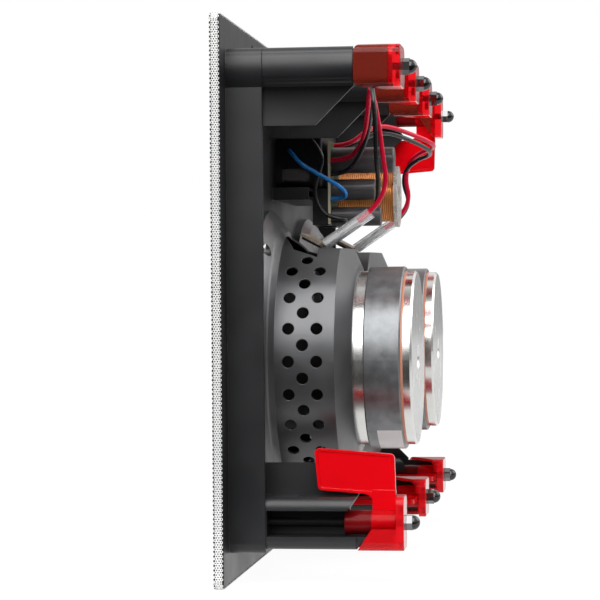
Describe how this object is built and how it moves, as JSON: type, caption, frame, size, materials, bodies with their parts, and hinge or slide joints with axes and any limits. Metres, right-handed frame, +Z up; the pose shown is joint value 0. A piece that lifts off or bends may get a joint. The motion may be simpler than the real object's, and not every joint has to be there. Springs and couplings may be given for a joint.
{
  "type": "in-wall speaker",
  "caption": "Flush in-wall loudspeaker: perforated grille and moulded frame, twin woofers and a tweeter, rear crossover, and clear red swing clamps that grip the wall from behind.",
  "frame": {"origin": "centre of the panel on the wall plane, the flange's rear face", "axes": "+Y into the wall, +Z up, +X along the panel's long side"},
  "size_m": [0.4, 0.1109, 0.315],
  "materials": {
    "frame_black": "satin moulded",
    "grille_white": "fine satin powder coat",
    "nickel": "plated",
    "clear_red": "clear tinted",
    "zinc": "zinc plated",
    "tin": "tinned brass",
    "nut_black": "glossy",
    "terminal_brown": "phenolic sheet",
    "screw_black": "black oxide",
    "dome_silk": "coated cloth",
    "ferrite": "mottled sintered",
    "housing_black": "moulded",
    "board_green": "solder resist",
    "capacitor_black": "sleeved",
    "bobbin_clear": "translucent",
    "copper": "enamelled",
    "resistor_white": "cement",
    "terminal_black": "moulded",
    "sleeve_clear": "clear",
    "wire_red": "insulation",
    "wire_blue": "insulation",
    "brass": "turned",
    "basket_grey": "semi-gloss",
    "surround_rubber": "matte",
    "cone_black": "woven satin",
    "spider_cloth": "resin-dipped cloth"
  },
  "bodies": {
    "frame": {"back_plate_1": "zinc", "back_plate_2": "zinc", "basket_1": "basket_grey", "basket_2": "basket_grey", "board_screws": "zinc", "cap_nuts": "nut_black", "capacitors": "capacitor_black", "clamp_caps": "clear_red", "clamp_screws": "screw_black", "clamp_towers": "frame_black", "coil_bobbin": "bobbin_clear", "coil_winding": "copper", "connector_sleeves": "sleeve_clear", "crossover_board": "board_green", "frame": "frame_black", "grille": "grille_white", "grille_magnets": "nickel", "input_terminal": "terminal_black", "magnet_1": "ferrite", "magnet_2": "ferrite", "resistor": "resistor_white", "spade_terminals": "tin", "spider_1": "spider_cloth", "spider_2": "spider_cloth", "surround_1": "surround_rubber", "surround_2": "surround_rubber", "top_plate_1": "zinc", "top_plate_2": "zinc", "tweeter_housing": "housing_black", "tweeter_magnet": "ferrite", "tweeter_screws": "screw_black", "tweeter_top_plate": "zinc", "tweeter_waveguide": "frame_black", "tweeter_wires": "wire_blue", "tweeter_yoke": "zinc", "woofer_1_wires": "wire_red", "woofer_2_wires": "wire_red", "woofer_screws": "zinc", "woofer_terminals": "terminal_brown"},
    "bush_top_1": {"clamp_bush_top_1": "brass"},
    "clamp_top_1": {"clamp_top_1": "clear_red"},
    "bush_top_2": {"clamp_bush_top_2": "brass"},
    "clamp_top_2": {"clamp_top_2": "clear_red"},
    "bush_top_3": {"clamp_bush_top_3": "brass"},
    "clamp_top_3": {"clamp_top_3": "clear_red"},
    "bush_top_4": {"clamp_bush_top_4": "brass"},
    "clamp_top_4": {"clamp_top_4": "clear_red"},
    "bush_bottom_1": {"clamp_bush_bottom_1": "brass"},
    "clamp_bottom_1": {"clamp_bottom_1": "clear_red"},
    "bush_bottom_2": {"clamp_bush_bottom_2": "brass"},
    "clamp_bottom_2": {"clamp_bottom_2": "clear_red"},
    "bush_bottom_3": {"clamp_bush_bottom_3": "brass"},
    "clamp_bottom_3": {"clamp_bottom_3": "clear_red"},
    "cone_1": {"cone_1": "cone_black", "dust_cap_1": "cone_black", "voice_coil_1": "copper"},
    "cone_2": {"cone_2": "cone_black", "dust_cap_2": "cone_black", "voice_coil_2": "copper"},
    "dome": {"tweeter_diaphragm": "dome_silk"}
  },
  "joints": [
    {"name": "clamp_draw_top_1", "type": "slide", "parent": "frame", "child": "bush_top_1", "axis": [0, -1, 0], "range_m": [0, 0.037]},
    {"name": "clamp_swing_top_1", "type": "hinge", "parent": "bush_top_1", "child": "clamp_top_1", "pos_m": [0.1655, 0.08, 0.129], "axis": [0, 1, 0], "range_deg": [0, 90]},
    {"name": "clamp_draw_top_2", "type": "slide", "parent": "frame", "child": "bush_top_2", "axis": [0, -1, 0], "range_m": [0, 0.037]},
    {"name": "clamp_swing_top_2", "type": "hinge", "parent": "bush_top_2", "child": "clamp_top_2", "pos_m": [0.056, 0.08, 0.129], "axis": [0, 1, 0], "range_deg": [0, 90]},
    {"name": "clamp_draw_top_3", "type": "slide", "parent": "frame", "child": "bush_top_3", "axis": [0, -1, 0], "range_m": [0, 0.037]},
    {"name": "clamp_swing_top_3", "type": "hinge", "parent": "bush_top_3", "child": "clamp_top_3", "pos_m": [-0.056, 0.08, 0.129], "axis": [0, 1, 0], "range_deg": [0, 90]},
    {"name": "clamp_draw_top_4", "type": "slide", "parent": "frame", "child": "bush_top_4", "axis": [0, -1, 0], "range_m": [0, 0.037]},
    {"name": "clamp_swing_top_4", "type": "hinge", "parent": "bush_top_4", "child": "clamp_top_4", "pos_m": [-0.169, 0.08, 0.1255], "axis": [0, 1, 0], "range_deg": [0, 90]},
    {"name": "clamp_draw_bottom_1", "type": "slide", "parent": "frame", "child": "bush_bottom_1", "axis": [0, -1, 0], "range_m": [0, 0.037]},
    {"name": "clamp_swing_bottom_1", "type": "hinge", "parent": "bush_bottom_1", "child": "clamp_bottom_1", "pos_m": [0.169, 0.08, -0.1232], "axis": [0, 1, 0], "range_deg": [0, 90]},
    {"name": "clamp_draw_bottom_2", "type": "slide", "parent": "frame", "child": "bush_bottom_2", "axis": [0, -1, 0], "range_m": [0, 0.037]},
    {"name": "clamp_swing_bottom_2", "type": "hinge", "parent": "bush_bottom_2", "child": "clamp_bottom_2", "pos_m": [0, 0.08, -0.1243], "axis": [0, 1, 0], "range_deg": [0, 90]},
    {"name": "clamp_draw_bottom_3", "type": "slide", "parent": "frame", "child": "bush_bottom_3", "axis": [0, -1, 0], "range_m": [0, 0.037]},
    {"name": "clamp_swing_bottom_3", "type": "hinge", "parent": "bush_bottom_3", "child": "clamp_bottom_3", "pos_m": [-0.1655, 0.08, -0.1243], "axis": [0, 1, 0], "range_deg": [0, 90]},
    {"name": "cone_move_1", "type": "slide", "parent": "frame", "child": "cone_1", "axis": [0, -1, 0], "range_m": [-0.004, 0.004], "stiffness_N_per_m": 1500, "deforming": ["surround_1", "spider_1"]},
    {"name": "cone_move_2", "type": "slide", "parent": "frame", "child": "cone_2", "axis": [0, -1, 0], "range_m": [-0.004, 0.004], "stiffness_N_per_m": 1500, "deforming": ["surround_2", "spider_2"]},
    {"name": "dome_move", "type": "slide", "parent": "frame", "child": "dome", "axis": [0, -1, 0], "range_m": [-0.0003, 0.0003], "stiffness_N_per_m": 2000}
  ]
}
